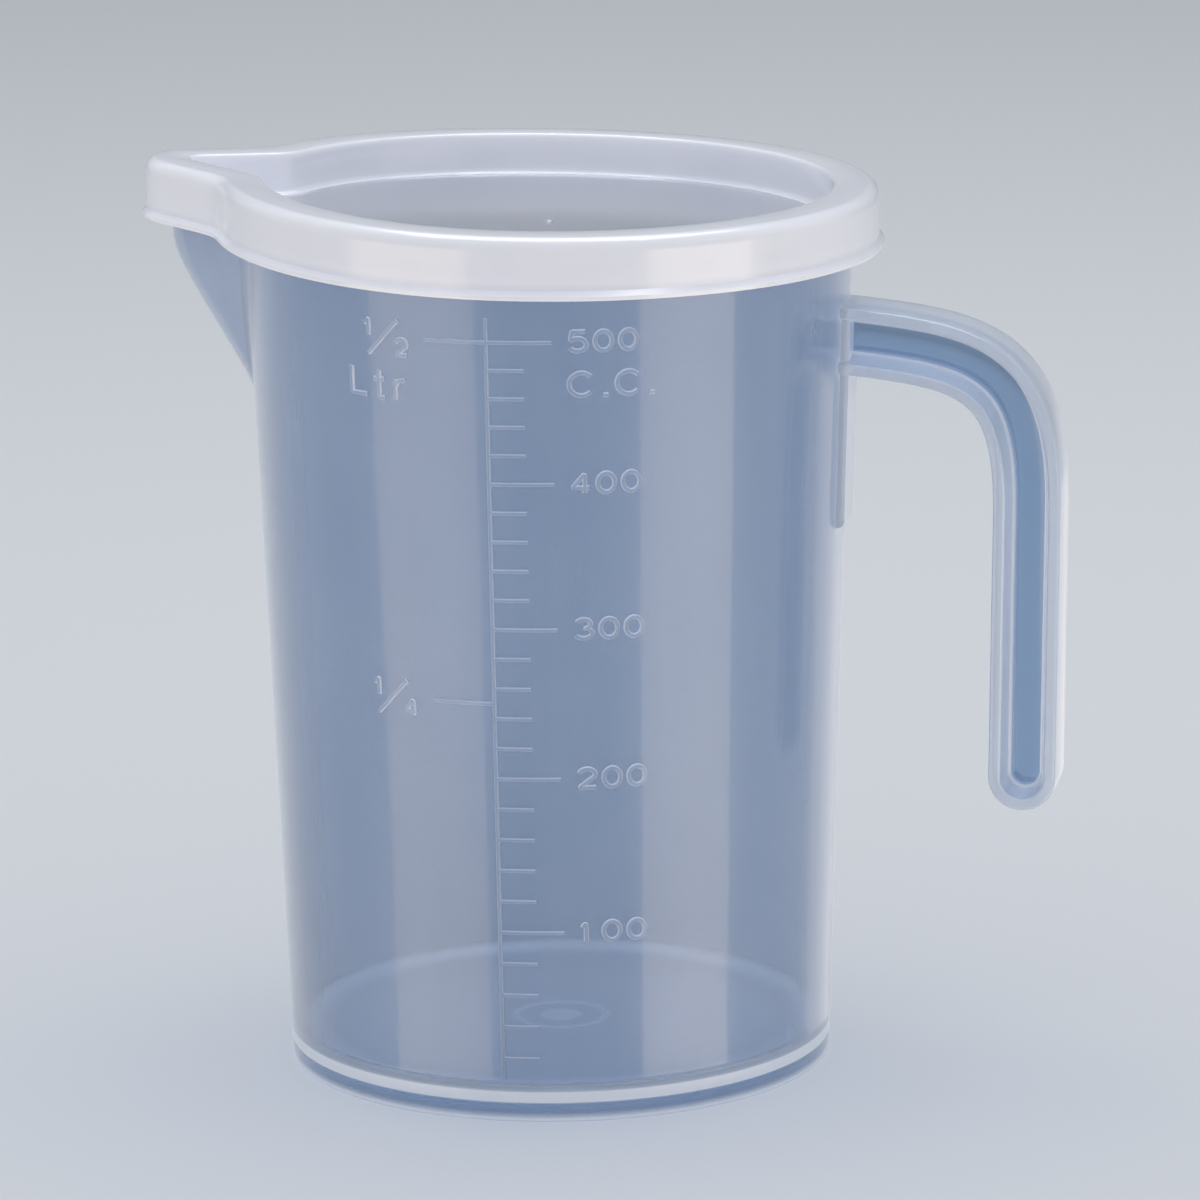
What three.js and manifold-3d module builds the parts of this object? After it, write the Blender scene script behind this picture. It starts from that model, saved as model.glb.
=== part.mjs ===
// Lidded half-litre measuring jug in two mouldings: the jug, which is cup, pouring spout, rim and
// open-ended handle in one piece, and the press-on lid, whose beak covers the spout.
// Millimetres, +Z up. The jug stands on its foot ring, the spout points to -X and the handle to +X.
import * as THREE from 'three';
import { mergeVertices } from 'three/addons/utils/BufferGeometryUtils.js';
import Module from 'manifold-3d';

// Cup
const BASE_RADIUS = 38.3; // outside, at the bottom of the foot ring
const WALL_DRAFT = 2; // degrees that the wall leans outwards
const WALL = 1.5;
const JUG_HEIGHT = 123.6; // foot to the rim's top face, on the axis of the cup
const FLOOR_TOP = 4.5; // inside floor above the table
const FLOOR_THICKNESS = 1.7;
const FLOOR_FILLET = 1.6; // inside, between floor and wall
const FOOT_WALL = 1.6; // width of the foot ring that the jug stands on
const EDGE_ROUND = 0.4; // broken edges of foot and rim
const GATE_RADIUS = 6.4; // shallow well round the moulding gate, under the floor
const GATE_DEPTH = 0.5;

// Rim
const FLANGE_WIDTH = 1.95; // rim beyond the outside of the wall
const FLANGE_THICKNESS = 1.8;
const RIM_SLOPE = 0.75; // degrees that the rim climbs from the handle to the spout
const RIM_SWEEP = 3.1; // further degrees of climb towards the nose
const SWEEP_START = 17.4; // axis of the cup to the middle of the bend into that climb
const SWEEP_BLEND = 26; // softness of that bend

// Spout
const SPOUT_REACH = 54.1; // axis of the cup to the nose, outside, at the rim
const SPOUT_DROP = 29.9; // rim down to where the nose leaves the wall
const SPOUT_SHOULDER = 10.5; // rim down to where the nose turns upright
const SPOUT_BEND = 2.4; // softness of that turn
const SPOUT_NOSE_RADIUS = 5.6; // outside, seen from above
const SPOUT_HALF_ANGLE = 33.7; // degrees from the middle of the spout to each side
const SPOUT_CREASE = 2.4; // softness of the hollow corner between spout and wall

// Handle
const HANDLE_DROP = 19.4; // rim down to the middle of the handle where it leaves the cup
const HANDLE_DROOP = 5.8; // degrees below level at the cup
const HANDLE_REACH = 67.7; // axis of the cup to the middle of the grip, at the elbow
const HANDLE_FALL = 23.8; // from the root down to the elbow, where the straight grip starts
const GRIP_LENGTH = 37.6; // elbow to the centre of the rounded lower end
const GRIP_LEAN = 1.1; // degrees that the grip leans towards the cup
const HANDLE_LEAD = 17.4; // pull of the bend at the cup
const HANDLE_SHOULDER = 21.2; // pull of the bend at the elbow
const HANDLE_WIDTH = 9.6; // seen from the side, at the parting plane
const HANDLE_DEPTH = 10.4; // from face to face
const HANDLE_DRAFT = 1; // degrees, from the parting plane to each face
const RAIL_FACE = 1.6; // face of the raised rail round each pocket
const POCKET_DRAFT = 9; // degrees of the pocket's sides
const WEB = 1.6; // plate between the two pockets
const PAD_WIDTH = 8; // strip on the wall that carries the root of the handle
const PAD_PROUD = 1;
const PAD_DROP = 26.7; // middle of the handle's root down to the strip's lower end

// Lid
const LID_CLEARANCE = 0.3; // between lid and jug, all round and on the rim
const LID_WALL = 1.15;
const LID_HEIGHT = 8.4; // lip to top
const RECESS_DEPTH = 5.8; // from the top ring down to the panel
const RECESS_FILLET = 0.8;
const TOP_ROUND = 1.7; // outer edge of the top ring
const RING_EDGE = 0.5; // inner edge of the top ring
const LIP_WIDTH = 0.7; // thumb lip beyond the skirt
const LIP_HEIGHT = 1.3;

// Fineness of the facets
const SEGMENTS = 84; // round the cup
const CROWDING = 0.68; // share by which the segments narrow towards the spout
const SPOUT_STEPS = 7; // levels from the spout's foot to the rim
const ROUND_STEPS = 3; // on a rounded edge
const BEND_STEPS = 14; // along the handle's bend
const END_STEPS = 12; // round the handle's lower end
const GATE_SEGMENTS = 28; // round the gate well
const WELD = 1e-4; // points closer than this are one point
const OVERRUN = 2; // by which a cutting solid passes the face it cuts

// Heights above the table
const SPOUT_FOOT = JUG_HEIGHT - SPOUT_DROP;
const HANDLE_TOP = JUG_HEIGHT - HANDLE_DROP;
const PAD_FOOT = HANDLE_TOP - PAD_DROP;

const radians = THREE.MathUtils.degToRad;
const wasm = await Module();
wasm.setup();

// Larger and smaller of two sizes, with the corner between them softened.
function softMax(a, b, softness) {
  const overlap = Math.max(softness - Math.abs(a - b), 0);
  return Math.max(a, b) + overlap ** 2 / (4 * softness);
}

function softMin(a, b, softness) {
  return -softMax(-a, -b, softness);
}

// Outside radius of the round cup, and reach of the spout's nose, at a height.
function cupRadius(height) {
  return BASE_RADIUS + height * Math.tan(radians(WALL_DRAFT));
}

function noseReach(height) {
  const share = (height - SPOUT_FOOT) / (SPOUT_DROP - SPOUT_SHOULDER);
  const straight = THREE.MathUtils.lerp(cupRadius(SPOUT_FOOT), SPOUT_REACH, share);
  return softMin(straight, SPOUT_REACH, SPOUT_BEND);
}

// Outline of cup and spout seen from above, as a radius for each angle from the spout. Every wall,
// rim, skirt and recess is this outline moved outwards or inwards by its own offset.
function outlineRadius(angle, height, offset) {
  const round = cupRadius(height) + offset;
  const half = radians(SPOUT_HALF_ANGLE);
  const turn = Math.abs(angle);
  if (turn > Math.PI / 2 - half) {
    return round;
  }
  const nose = SPOUT_NOSE_RADIUS + offset;
  const centre = noseReach(height) - SPOUT_NOSE_RADIUS;
  const tangent = Math.atan2(nose * Math.cos(half), centre + nose * Math.sin(half));
  const arc = centre * Math.cos(turn) + Math.sqrt(Math.max(nose ** 2 - (centre * Math.sin(turn)) ** 2, 0));
  const side = (nose + centre * Math.sin(half)) / Math.sin(half + turn);
  return softMax(round, turn < tangent ? arc : side, SPOUT_CREASE);
}

// Climb of the rim above its height on the axis. Rim and lid share it, so the lid seats all along.
function rimLift(x) {
  const alongSweep = softMax(-x - SWEEP_START, 0, SWEEP_BLEND);
  return -x * Math.tan(radians(RIM_SLOPE)) + alongSweep * Math.tan(radians(RIM_SWEEP));
}

// Stations of a moulded profile. A round one has a plain radius, and one on the outline an offset
// from the outside of the wall at its level. Share is how much of the rim's climb it takes.
function roundStation(radius, height, share = 0) {
  return { radius, height, share };
}

function wallStation(offset, height) {
  const share = (height - SPOUT_FOOT) / (JUG_HEIGHT - FLANGE_THICKNESS - SPOUT_FOOT);
  return { offset, height, level: height, share: THREE.MathUtils.clamp(share, 0, 1) };
}

function lidStation(offset, height, level = JUG_HEIGHT) {
  return { offset, height, level, share: 1 };
}

// Stations on a rounded edge, between two angles in degrees about a centre.
function roundedEdge(make, offset, height, radius, from, to) {
  const stations = [];
  for (let step = 0; step <= ROUND_STEPS; step += 1) {
    const angle = radians(from + (to - from) * step / ROUND_STEPS);
    stations.push(make(offset + radius * Math.cos(angle), height + radius * Math.sin(angle)));
  }
  return stations;
}

// Closed mesh of a geometry, as a solid for joining and cutting.
function solid(geometry) {
  const bare = geometry.clone();
  bare.deleteAttribute('normal');
  bare.deleteAttribute('uv');
  const welded = mergeVertices(bare, WELD);
  const corners = welded.index.array;
  const triVerts = [];
  for (let first = 0; first < corners.length; first += 3) {
    const [a, b, c] = corners.slice(first, first + 3);
    if (a !== b && b !== c && c !== a) {
      triVerts.push(a, b, c);
    }
  }
  const vertProperties = new Float32Array(welded.attributes.position.array);
  return new wasm.Manifold(new wasm.Mesh({ numProp: 3, vertProperties, triVerts: new Uint32Array(triVerts) }));
}

function geometryOf(body) {
  const mesh = body.getMesh();
  const geometry = new THREE.BufferGeometry();
  geometry.setAttribute('position', new THREE.BufferAttribute(mesh.vertProperties, 3));
  geometry.setIndex(new THREE.BufferAttribute(mesh.triVerts, 1));
  geometry.computeVertexNormals();
  return geometry;
}

// Turned profile, drawn out of round to the outline and lifted to the rim's climb.
function moulded(stations) {
  const profile = stations.map(({ radius, offset, level, height }) => (
    new THREE.Vector2(radius ?? cupRadius(level) + offset, height)));
  const geometry = new THREE.LatheGeometry(profile, SEGMENTS);
  const position = geometry.attributes.position;
  for (let index = 0; index < position.count; index += 1) {
    const { radius, offset, level, height, share } = stations[index % stations.length];
    const even = 2 * Math.PI * (Math.floor(index / stations.length) % SEGMENTS) / SEGMENTS;
    const signed = even > Math.PI ? even - 2 * Math.PI : even;
    const angle = signed - CROWDING * Math.sin(signed);
    const distance = radius ?? outlineRadius(angle, level, offset);
    const x = -distance * Math.cos(angle);
    const y = -distance * Math.sin(angle);
    position.setXYZ(index, x, y, height + share * rimLift(x));
  }
  return solid(geometry);
}

// Solid through rings of equally many points, closed at both ends. The rings lie one behind the
// other along Y, and each runs anticlockwise as seen from the first.
function loft(rings) {
  const count = rings[0].length;
  const points = rings.flat();
  const index = [];
  for (let ring = 0; ring < rings.length - 1; ring += 1) {
    for (let here = 0; here < count; here += 1) {
      const next = (here + 1) % count;
      const low = ring * count;
      const high = low + count;
      index.push(low + next, low + here, high + here, low + next, high + here, high + next);
    }
  }
  const flat = rings[0].map((point) => new THREE.Vector2(point.x, point.z));
  const last = points.length - count;
  for (const [a, b, c] of THREE.ShapeUtils.triangulateShape(flat, [])) {
    index.push(a, b, c, last + c, last + b, last + a);
  }
  const geometry = new THREE.BufferGeometry().setFromPoints(points);
  geometry.setIndex(index);
  return solid(geometry);
}

// Outside of the jug as a full body: foot ring, wall with spout, and rim flange.
function jugOutside() {
  const floorUnder = FLOOR_TOP - FLOOR_THICKNESS;
  const footInside = BASE_RADIUS - FOOT_WALL;
  const flangeUnder = JUG_HEIGHT - FLANGE_THICKNESS;
  const flangeEdge = FLANGE_WIDTH - EDGE_ROUND;
  const stations = [
    roundStation(0, floorUnder),
    roundStation(footInside, floorUnder),
    roundStation(footInside, 0),
    ...roundedEdge(wallStation, -EDGE_ROUND, EDGE_ROUND, EDGE_ROUND, -90, 0),
  ];
  for (let step = 0; step <= SPOUT_STEPS; step += 1) {
    const low = SPOUT_FOOT - SPOUT_BEND;
    stations.push(wallStation(0, low + (flangeUnder - low) * step / SPOUT_STEPS));
  }
  stations.push(
    ...roundedEdge(wallStation, flangeEdge, flangeUnder + EDGE_ROUND, EDGE_ROUND, -90, 0),
    ...roundedEdge(wallStation, flangeEdge, JUG_HEIGHT - EDGE_ROUND, EDGE_ROUND, 0, 90),
    wallStation(-WALL - EDGE_ROUND, JUG_HEIGHT),
    roundStation(0, JUG_HEIGHT, 1),
  );
  return moulded(stations);
}

// Inside of the jug, run on past the rim so that it opens the mouth.
function jugInside() {
  const stations = [
    roundStation(0, FLOOR_TOP),
    ...roundedEdge(wallStation, -WALL - FLOOR_FILLET, FLOOR_TOP + FLOOR_FILLET, FLOOR_FILLET, -90, 0),
  ];
  for (let step = 0; step <= SPOUT_STEPS; step += 1) {
    const low = SPOUT_FOOT - SPOUT_BEND;
    stations.push(wallStation(-WALL, low + (JUG_HEIGHT - low) * step / SPOUT_STEPS));
  }
  stations.push(
    lidStation(-WALL, JUG_HEIGHT + OVERRUN),
    roundStation(0, JUG_HEIGHT + OVERRUN, 1),
  );
  return moulded(stations);
}

// Well round the gate, under the floor.
function gateWell() {
  const geometry = new THREE.CylinderGeometry(GATE_RADIUS, GATE_RADIUS, GATE_DEPTH + OVERRUN, GATE_SEGMENTS);
  geometry.rotateX(Math.PI / 2);
  geometry.translate(0, 0, FLOOR_TOP - FLOOR_THICKNESS + GATE_DEPTH - (GATE_DEPTH + OVERRUN) / 2);
  return solid(geometry);
}

// Middle line of the handle: out of the wall, over the bend and down the straight grip.
function handleLine() {
  const lean = radians(GRIP_LEAN);
  const droop = radians(HANDLE_DROOP);
  const root = new THREE.Vector2(cupRadius(HANDLE_TOP) - WALL - OVERRUN, HANDLE_TOP);
  const elbow = new THREE.Vector2(HANDLE_REACH, HANDLE_TOP - HANDLE_FALL);
  const lead = new THREE.Vector2(Math.cos(droop), -Math.sin(droop));
  const rise = new THREE.Vector2(Math.sin(lean), Math.cos(lean));
  const start = root.clone().addScaledVector(lead, WALL + OVERRUN);
  const end = elbow.clone().addScaledVector(rise, -GRIP_LENGTH);
  const bend = new THREE.CubicBezierCurve(
    start,
    start.clone().addScaledVector(lead, HANDLE_LEAD),
    elbow.clone().addScaledVector(rise, HANDLE_SHOULDER),
    elbow,
  );
  return [root, ...bend.getPoints(BEND_STEPS), end];
}

// Outline of the handle at a distance from its middle line, round the lower end, in one plane.
function handleRing(half, y) {
  const line = handleLine();
  const outer = [];
  const inner = [];
  line.forEach((point, index) => {
    const before = line[Math.max(index - 1, 0)];
    const after = line[Math.min(index + 1, line.length - 1)];
    const along = after.clone().sub(before).normalize();
    outer.unshift(new THREE.Vector3(point.x - along.y * half, y, point.y + along.x * half));
    inner.push(new THREE.Vector3(point.x + along.y * half, y, point.y - along.x * half));
  });
  const end = line[line.length - 1];
  const lean = radians(GRIP_LEAN);
  const cap = [];
  for (let step = 1; step < END_STEPS; step += 1) {
    const angle = Math.PI * (1 + step / END_STEPS) - lean;
    cap.push(new THREE.Vector3(end.x + half * Math.cos(angle), y, end.y + half * Math.sin(angle)));
  }
  return [...inner, ...cap, ...outer];
}

// Handle with a pocket in each face, so that a web and two rails are left.
function handle() {
  const face = HANDLE_DEPTH / 2;
  const broken = face - EDGE_ROUND;
  const half = HANDLE_WIDTH / 2;
  const halfAt = (depth) => half - depth * Math.tan(radians(HANDLE_DRAFT));
  const pocketAt = (depth) => halfAt(face) - RAIL_FACE - (face - depth) * Math.tan(radians(POCKET_DRAFT));
  const body = loft([
    handleRing(halfAt(face) - EDGE_ROUND, -face),
    handleRing(halfAt(broken), -broken),
    handleRing(half, 0),
    handleRing(halfAt(broken), broken),
    handleRing(halfAt(face) - EDGE_ROUND, face),
  ]);
  const past = face + OVERRUN;
  const front = loft([
    handleRing(pocketAt(past), -past),
    handleRing(pocketAt(WEB / 2), -WEB / 2),
  ]);
  const back = loft([
    handleRing(pocketAt(WEB / 2), WEB / 2),
    handleRing(pocketAt(past), past),
  ]);
  return body.subtract(front).subtract(back);
}

// Strip on the wall behind the handle's root, with a rounded lower end.
function rootPad() {
  const top = HANDLE_TOP + HANDLE_WIDTH / 2 - EDGE_ROUND;
  const inside = cupRadius(PAD_FOOT) - WALL - OVERRUN;
  const half = PAD_WIDTH / 2;
  const shape = new THREE.Shape();
  shape.moveTo(inside, PAD_FOOT);
  shape.lineTo(cupRadius(PAD_FOOT), PAD_FOOT);
  shape.quadraticCurveTo(
    cupRadius(PAD_FOOT) + PAD_PROUD,
    PAD_FOOT,
    cupRadius(PAD_FOOT + PAD_PROUD) + PAD_PROUD,
    PAD_FOOT + PAD_PROUD,
  );
  shape.lineTo(cupRadius(top) + PAD_PROUD, top);
  shape.lineTo(inside, top);
  const geometry = new THREE.ExtrudeGeometry(shape, {
    depth: PAD_WIDTH, bevelEnabled: false, curveSegments: ROUND_STEPS,
  });
  geometry.rotateX(Math.PI / 2);
  geometry.translate(0, half, 0);
  return solid(geometry);
}

// Lid: recessed panel, plug wall inside the mouth, top ring over the rim, and skirt with thumb lip.
function lidBody() {
  const ringUnder = JUG_HEIGHT + LID_CLEARANCE;
  const top = ringUnder + LID_WALL;
  const bottom = top - LID_HEIGHT;
  const panelTop = top - RECESS_DEPTH;
  const panelUnder = panelTop - LID_WALL;
  const plugOutside = -WALL - LID_CLEARANCE;
  const plugInside = plugOutside - LID_WALL;
  const skirtInside = FLANGE_WIDTH + LID_CLEARANCE;
  const skirtOutside = skirtInside + LID_WALL;
  const lipOutside = skirtOutside + LIP_WIDTH;
  const lipTop = bottom + LIP_HEIGHT;
  const panelRound = cupRadius(panelTop) + plugInside - RECESS_FILLET;
  const plugStation = (offset, height) => lidStation(offset, height, height);
  return moulded([
    roundStation(0, panelUnder, 1),
    roundStation(panelRound, panelUnder, 1),
    plugStation(plugOutside, panelUnder),
    plugStation(plugOutside, ringUnder),
    lidStation(skirtInside, ringUnder),
    lidStation(skirtInside, bottom),
    lidStation(lipOutside, bottom),
    lidStation(lipOutside, lipTop - LIP_WIDTH),
    lidStation(skirtOutside, lipTop),
    ...roundedEdge(lidStation, skirtOutside - TOP_ROUND, top - TOP_ROUND, TOP_ROUND, 0, 90),
    ...roundedEdge(plugStation, plugInside + RING_EDGE, top - RING_EDGE, RING_EDGE, 90, 180),
    ...roundedEdge(plugStation, plugInside - RECESS_FILLET, panelTop + RECESS_FILLET, RECESS_FILLET, 0, -90),
    roundStation(panelRound - RECESS_FILLET, panelTop, 1),
    roundStation(0, panelTop, 1),
  ]);
}

function piece(name, body, material) {
  const mesh = new THREE.Mesh(geometryOf(body), material);
  mesh.name = name;
  return mesh;
}

// Clear polypropylene for the jug, milkier polyethylene for the lid.
const clearPlastic = new THREE.MeshStandardMaterial({ color: 0xb4c2d6, roughness: 0.22, metalness: 0 });
const milkyPlastic = new THREE.MeshStandardMaterial({ color: 0xdfe3ea, roughness: 0.34, metalness: 0 });

const jugBody = jugOutside().add(handle()).add(rootPad()).subtract(jugInside()).subtract(gateWell());

const jug = new THREE.Group();
jug.add(piece('jug_with_handle', jugBody, clearPlastic));
jug.add(piece('press_on_lid', lidBody(), milkyPlastic));

// The origin lies on the table, under the middle of the whole part.
const reach = new THREE.Box3().setFromObject(jug);
jug.position.x = -(reach.min.x + reach.max.x) / 2;

export default jug;
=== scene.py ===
# %% [markdown]
# A lidded measuring jug of half a litre.
#
# The real object is two injection mouldings: a see-through jug with spout and handle, and a milky lid that
# presses on its rim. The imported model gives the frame: what is made here sits exactly where its solids are,
# only with finer surfaces. All sizes are in metres.

# %% Frame
import math

import bmesh
import bpy
import numpy as np
from mathutils import Matrix, Vector
from mathutils.bvhtree import BVHTree


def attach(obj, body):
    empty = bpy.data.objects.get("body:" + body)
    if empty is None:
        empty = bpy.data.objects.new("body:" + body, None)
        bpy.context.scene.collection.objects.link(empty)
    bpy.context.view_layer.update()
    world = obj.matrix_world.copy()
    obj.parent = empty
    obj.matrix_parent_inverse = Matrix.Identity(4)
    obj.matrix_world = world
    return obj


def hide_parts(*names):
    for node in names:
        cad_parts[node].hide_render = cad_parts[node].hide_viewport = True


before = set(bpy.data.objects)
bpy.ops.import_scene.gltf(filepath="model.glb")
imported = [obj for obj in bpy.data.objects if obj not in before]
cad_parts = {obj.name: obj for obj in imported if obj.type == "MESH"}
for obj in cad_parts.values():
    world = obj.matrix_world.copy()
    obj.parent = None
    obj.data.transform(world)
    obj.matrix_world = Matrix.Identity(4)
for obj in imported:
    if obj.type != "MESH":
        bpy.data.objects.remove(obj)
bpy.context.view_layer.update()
scene = bpy.context.scene
MM = 0.001
ON_TABLE = 0.01 * MM
foot_corners = [v.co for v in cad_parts["jug_with_handle"].data.vertices if v.co.z < ON_TABLE]
AXIS_X = (min(c.x for c in foot_corners) + max(c.x for c in foot_corners)) / 2
print("axis of the cup at x =", round(AXIS_X / MM, 2), "mm")

# %% [markdown]
# Node trees. Blender keeps both finishes and shapes that follow a rule as trees of nodes. A tree can be drawn
# by hand in the editor, or written down in a script, which is easier to repeat and to read. One helper adds
# any node: it takes the node's settings, and links each input to a socket or sets it to a value.

# %% Nodes


def add(tree, kind, settings=None, **inputs):
    """A node with its settings. An input is named, or counted as i0, i1 and so on."""
    node = tree.nodes.new(kind)
    for key, value in (settings or {}).items():
        setattr(node, key, value)
    for key, value in inputs.items():
        socket = node.inputs[int(key[1:])] if key[1:].isdigit() else node.inputs[key.replace("_", " ")]
        if isinstance(value, bpy.types.NodeSocket):
            tree.links.new(value, socket)
        else:
            socket.default_value = value
    return node


def new_tree(name, sizes):
    """An empty tree for a shape, with a named input for each size."""
    tree = bpy.data.node_groups.new(name, "GeometryNodeTree")
    tree.interface.new_socket("Geometry", in_out="INPUT", socket_type="NodeSocketGeometry")
    for size in sizes:
        tree.interface.new_socket(size, in_out="INPUT", socket_type="NodeSocketFloat")
    tree.interface.new_socket("Geometry", in_out="OUTPUT", socket_type="NodeSocketGeometry")
    return tree, tree.nodes.new("NodeGroupInput"), tree.nodes.new("NodeGroupOutput")


def work_out(tree, steps, values):
    """Follows a table: what a row gives goes by its name into the rows below it."""
    for name, operation, *terms in steps:
        inputs = {f"i{place}": values.get(term, term) for place, term in enumerate(terms)}
        values[name] = add(tree, "ShaderNodeMath", {"operation": operation}, **inputs).outputs[0]


# %% [markdown]
# Meshes. A tree or a modifier is a recipe, and the export wants a plain mesh. So each recipe is run once, its
# result is kept as a plain mesh, and the modifier goes. Faces are turned outwards and open edges counted at
# the same time, because see-through plastic shows every stray or reversed face. Doubles are merged on the
# skins. Ribs and strokes only touch, and each stays closed by itself.

# %% Meshes
SMOOTH_LIMIT = math.radians(32)
MERGE_REACH = 0.001 * MM


def new_mesh(name, corners, faces=(), edges=()):
    mesh = bpy.data.meshes.new(name)
    mesh.from_pydata(corners, edges, faces)
    return mesh


def new_piece(name, mesh):
    piece = bpy.data.objects.new(name, mesh)
    scene.collection.objects.link(piece)
    return piece


def closed(mesh, merge=True):
    shape = bmesh.new()
    shape.from_mesh(mesh)
    if merge:
        bmesh.ops.remove_doubles(shape, verts=shape.verts, dist=MERGE_REACH)
    bmesh.ops.recalc_face_normals(shape, faces=shape.faces)
    open_edges = sum(not edge.is_manifold for edge in shape.edges)
    shape.to_mesh(mesh)
    shape.free()
    print(mesh.name, "has", open_edges, "open edges")


def smooth(mesh):
    mesh.shade_smooth()
    mesh.set_sharp_from_angle(angle=SMOOTH_LIMIT)


def store(mesh, name, values, domain="POINT"):
    mesh.attributes.new(name, "FLOAT", domain).data.foreach_set("value", values)


def baked_mesh(piece):
    graph = bpy.context.evaluated_depsgraph_get()
    mesh = bpy.data.meshes.new_from_object(piece.evaluated_get(graph), depsgraph=graph)
    piece.modifiers.clear()
    return mesh


def run_tree(piece, tree, sizes, merge=False):
    modifier = piece.modifiers.new("nodes", "NODES")
    modifier.node_group = tree
    for socket in tree.interface.items_tree:
        if socket.in_out == "INPUT" and socket.name in sizes:
            modifier[socket.identifier] = sizes[socket.name]
    piece.data = baked_mesh(piece)
    piece.data.name = piece.name
    for used in [a.name for a in piece.data.attributes if a.data_type == "FLOAT"]:
        piece.data.attributes.remove(piece.data.attributes[used])
    closed(piece.data, merge)


# %% [markdown]
# Clear plastic. The jug is natural polypropylene, injection-moulded against polished steel. To the eye that
# is a glossy, faintly blue plastic: clear where it is thin, and white where it is thick or light leaves it at
# an edge. A glass shader alone would miss the white, and a white one the clearness. So one Principled shader
# goes from transmission to white scatter by an attribute called haze, and to blue by one called cast. Both
# are stored on the meshes further down, and at some places they also carry painted highlights, painted light
# and painted shade. The finishes come first, because the trees of the shapes end by setting them.

# %% Colours and polypropylene
FLOW_LINE = 2.5 * MM
CLOUD = 18 * MM
DRIFT = 0.02


def linear(code):
    channels = [int(code[i : i + 2], 16) / 255 for i in (1, 3, 5)]
    return (*[c / 12.92 if c <= 0.04045 else ((c + 0.055) / 1.055) ** 2.4 for c in channels], 1.0)


def new_material(name):
    material = bpy.data.materials.new(name)
    material.use_nodes = True
    material.node_tree.nodes.clear()
    return material, material.node_tree


def let_light_through(tree, surface, colour):
    """Lamp light passes the plastic, so the inside isn't left in a solid shadow."""
    passing = add(tree, "ShaderNodeBsdfTransparent", Color=colour)
    ray = add(tree, "ShaderNodeLightPath").outputs["Is Shadow Ray"]
    mixed = add(tree, "ShaderNodeMixShader", i0=ray, i1=surface.outputs[0], i2=passing.outputs[0])
    add(tree, "ShaderNodeOutputMaterial", Surface=mixed.outputs[0])


def plastic_values(tree, uneven, span, gloss):
    """How milky, clear and rough a plastic is, from its haze and a faint unevenness."""
    haze = add(tree, "ShaderNodeAttribute", {"attribute_name": "haze"}).outputs["Fac"]
    low, high = span
    drift, rough = [
        add(tree, "ShaderNodeMapRange", Value=uneven, From_Min=low, From_Max=high, To_Min=least, To_Max=most)
        for least, most in ((-DRIFT, DRIFT), gloss)
    ]
    milk = add(tree, "ShaderNodeMath", {"operation": "ADD", "use_clamp": True}, i0=haze, i1=drift.outputs[0])
    clear = add(tree, "ShaderNodeMath", {"operation": "SUBTRACT"}, i0=1.0, i1=milk.outputs[0])
    return milk.outputs[0], clear.outputs[0], rough.outputs[0]


def polypropylene():
    material, tree = new_material("injection-moulded natural polypropylene")
    cast = add(tree, "ShaderNodeAttribute", {"attribute_name": "cast"}).outputs["Fac"]
    place = add(tree, "ShaderNodeTexCoord").outputs["Object"]
    # Faint lines run up the wall, as the melt flowed from the gate in the floor. Cooling leaves wider clouds.
    upright = add(tree, "ShaderNodeMapping", Vector=place, Scale=(1, 1, 0.03))
    flow = add(tree, "ShaderNodeTexNoise", Vector=upright.outputs[0], Scale=1 / FLOW_LINE, Detail=3.0)
    cloud = add(tree, "ShaderNodeTexNoise", Vector=place, Scale=1 / CLOUD, Detail=2.0)
    uneven = add(tree, "ShaderNodeMath", {"operation": "ADD"}, i0=flow.outputs[0], i1=cloud.outputs[0])
    milk, clear, rough = plastic_values(tree, uneven.outputs[0], span=(0.7, 1.3), gloss=(0.04, 0.08))
    blue = add(tree, "ShaderNodeMix", {"data_type": "RGBA"}, Factor=cast, A=linear("#f0f4fa"),
               B=linear("#80a3c8"))
    tint = add(tree, "ShaderNodeMix", {"data_type": "RGBA"}, Factor=milk, A=blue.outputs["Result"],
               B=linear("#f1f4fa"))
    ripple = add(tree, "ShaderNodeBump", Height=flow.outputs[0], Strength=0.5, Distance=0.03 * MM)
    # The coat is the soft outer skin of the moulding, and gives the bands of light their soft edges. Seen
    # along the wall there is more plastic to look through, and the sheen whitens those edges.
    surface = add(tree, "ShaderNodeBsdfPrincipled", Base_Color=tint.outputs["Result"],
                  Transmission_Weight=clear, Roughness=rough, Normal=ripple.outputs[0],
                  IOR=1.49, Coat_Weight=1.0, Coat_Roughness=0.28, Sheen_Weight=0.4, Sheen_Roughness=0.25)
    let_light_through(tree, surface, linear("#eef2f9"))
    return material


clear_plastic = polypropylene()
print(clear_plastic.name, "with", len(clear_plastic.node_tree.nodes), "nodes")

# %% [markdown]
# Milky plastic. The lid is natural low-density polyethylene, also moulded. It is softer, whiter and more
# satin than the jug, because its crystals scatter more light. Over the rim it backs on more plastic and is
# nearly white, and its thin panel lets the shade of the inside through; its grey adds a painted shade there
# too. Some subsurface scatter lets light creep from the bright ring into the shaded recess, as it does in the
# real lid.

# %% Polyethylene
SATIN_GRAIN = 0.8 * MM  # far coarser than the real grain, which would be too fine to show


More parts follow.
